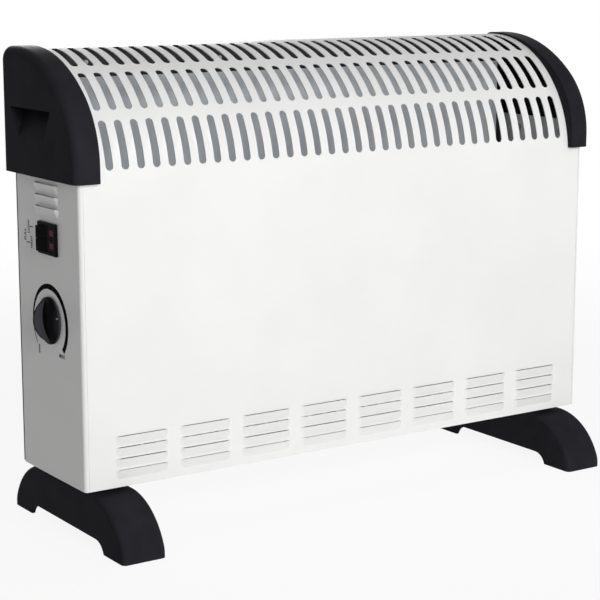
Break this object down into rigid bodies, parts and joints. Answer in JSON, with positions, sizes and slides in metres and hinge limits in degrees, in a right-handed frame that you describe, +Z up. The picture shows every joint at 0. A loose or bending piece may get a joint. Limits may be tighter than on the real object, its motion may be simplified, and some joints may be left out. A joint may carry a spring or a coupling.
{
  "type": "convector heater",
  "caption": "Free-standing white convector heater with a rolled slotted top, black end caps and feet, a double rocker switch and a thermostat knob.",
  "frame": {"origin": "middle of the footprint of the whole box, on the floor under the feet", "axes": "+X to the right as one faces the heater, +Y towards the rear panel, +Z up"},
  "size_m": [0.5386, 0.1968, 0.396],
  "materials": {
    "white_coat": "satin powder coat on steel sheet",
    "black_moulding": "fine-grained moulded polypropylene",
    "black_control": "smooth moulded polyamide",
    "red_lens": "clear red moulded lens",
    "grey_enamel": "pale grey heat-resistant enamel on steel sheet",
    "zinc_sheet": "galvanised sheet",
    "steel_fixings": "zinc plated",
    "element_alloy": "extruded, dulled by heat",
    "pale_ceramic": "unglazed steatite",
    "brass_terminals": "stamped, bright"
  },
  "bodies": {
    "case": {"front_shell": "white_coat", "left_side_panel": "white_coat", "right_side_panel": "white_coat", "rear_panel": "white_coat", "base_plate": "zinc_sheet", "shield_spacers": "zinc_sheet", "left_element_bracket": "zinc_sheet", "right_element_bracket": "zinc_sheet", "thermostat_plate": "zinc_sheet", "thermal_cutout": "zinc_sheet", "casing_screws": "steel_fixings", "cap_screws": "steel_fixings", "foot_screws": "steel_fixings", "bracket_screws": "steel_fixings", "thermostat_screws": "steel_fixings", "rocker_pin": "steel_fixings", "element_rods": "steel_fixings", "left_end_cap": "black_moulding", "right_end_cap": "black_moulding", "left_foot": "black_moulding", "right_foot": "black_moulding", "cable_gland": "black_moulding", "switch_housing": "black_control", "thermostat_body": "black_control", "heat_shield": "grey_enamel", "lower_element": "element_alloy", "upper_element": "element_alloy", "ceramic_bushes": "pale_ceramic", "terminal_block": "pale_ceramic", "terminal_screws": "brass_terminals", "switch_terminals": "brass_terminals", "thermostat_terminals": "brass_terminals"},
    "knob": {"thermostat_knob": "black_control", "thermostat_shaft": "steel_fixings"},
    "upper_switch": {"upper_rocker": "black_control", "upper_lens": "red_lens"},
    "lower_switch": {"lower_rocker": "black_control", "lower_lens": "red_lens"}
  },
  "joints": [
    {"name": "knob_turn", "type": "hinge", "parent": "case", "child": "knob", "pos_m": [-0.25415, 0.0023, 0.1795], "axis": [1, 0, 0], "range_deg": [-213, 57]},
    {"name": "upper_rocker_tip", "type": "hinge", "parent": "case", "child": "upper_switch", "pos_m": [-0.25205, 0.0018, 0.2512], "axis": [0, 0, -1], "range_deg": [0, 26]},
    {"name": "lower_rocker_tip", "type": "hinge", "parent": "case", "child": "lower_switch", "pos_m": [-0.25205, 0.0018, 0.2408], "axis": [0, 0, -1], "range_deg": [0, 26]}
  ]
}
